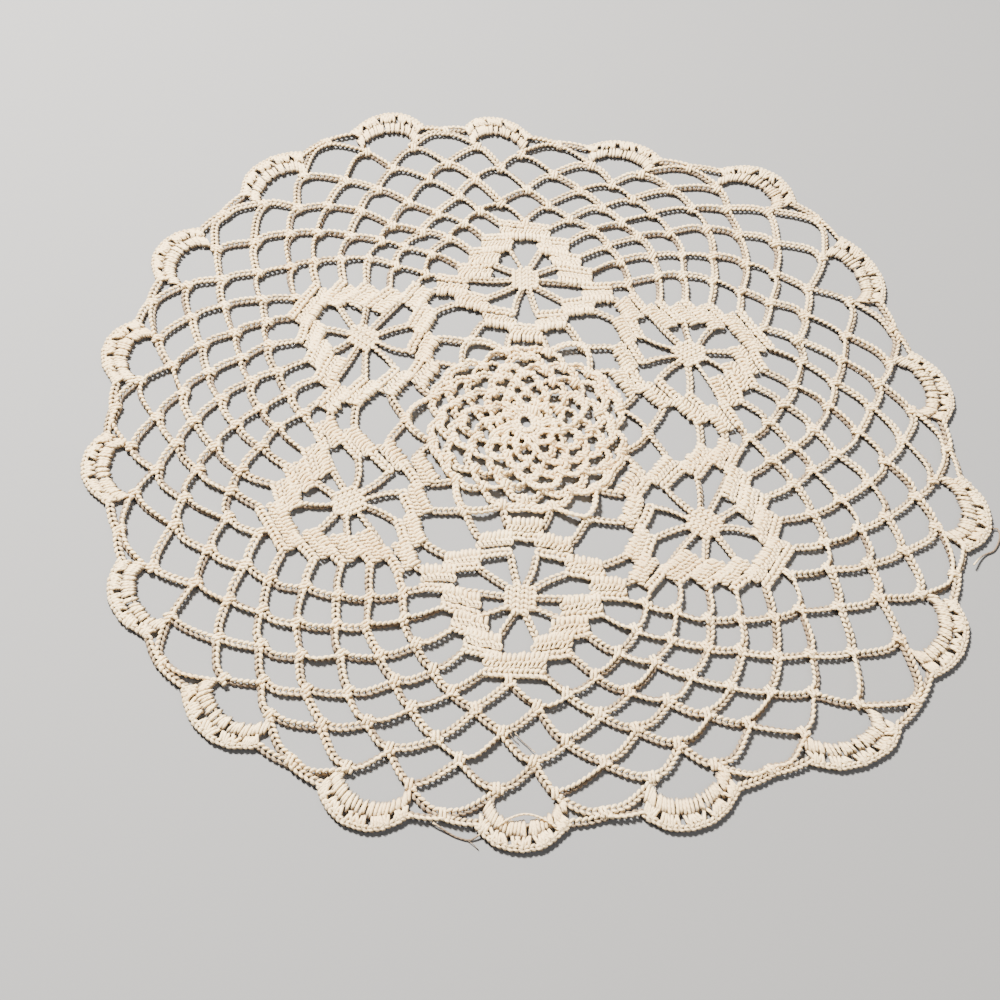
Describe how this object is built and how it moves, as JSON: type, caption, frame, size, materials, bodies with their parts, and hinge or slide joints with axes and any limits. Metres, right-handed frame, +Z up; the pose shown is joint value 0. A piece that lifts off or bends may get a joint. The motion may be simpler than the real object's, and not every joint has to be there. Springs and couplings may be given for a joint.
{
  "type": "round crocheted lace doily",
  "caption": "Round crocheted cotton doily with a close centre, a ring of spider-web diamonds, a net of chain loops and a scalloped edge.",
  "frame": {"origin": "middle of the bounding box at the underside", "axes": "+Z up out of the face that shows, +Y along the axis of one diamond, +X to the right seen from above"},
  "size_m": [0.2696, 0.266, 0.002],
  "materials": {
    "ecru_cotton": "matte ecru crochet cotton"
  },
  "bodies": {
    "root": {"doily": "ecru_cotton"}
  },
  "joints": []
}
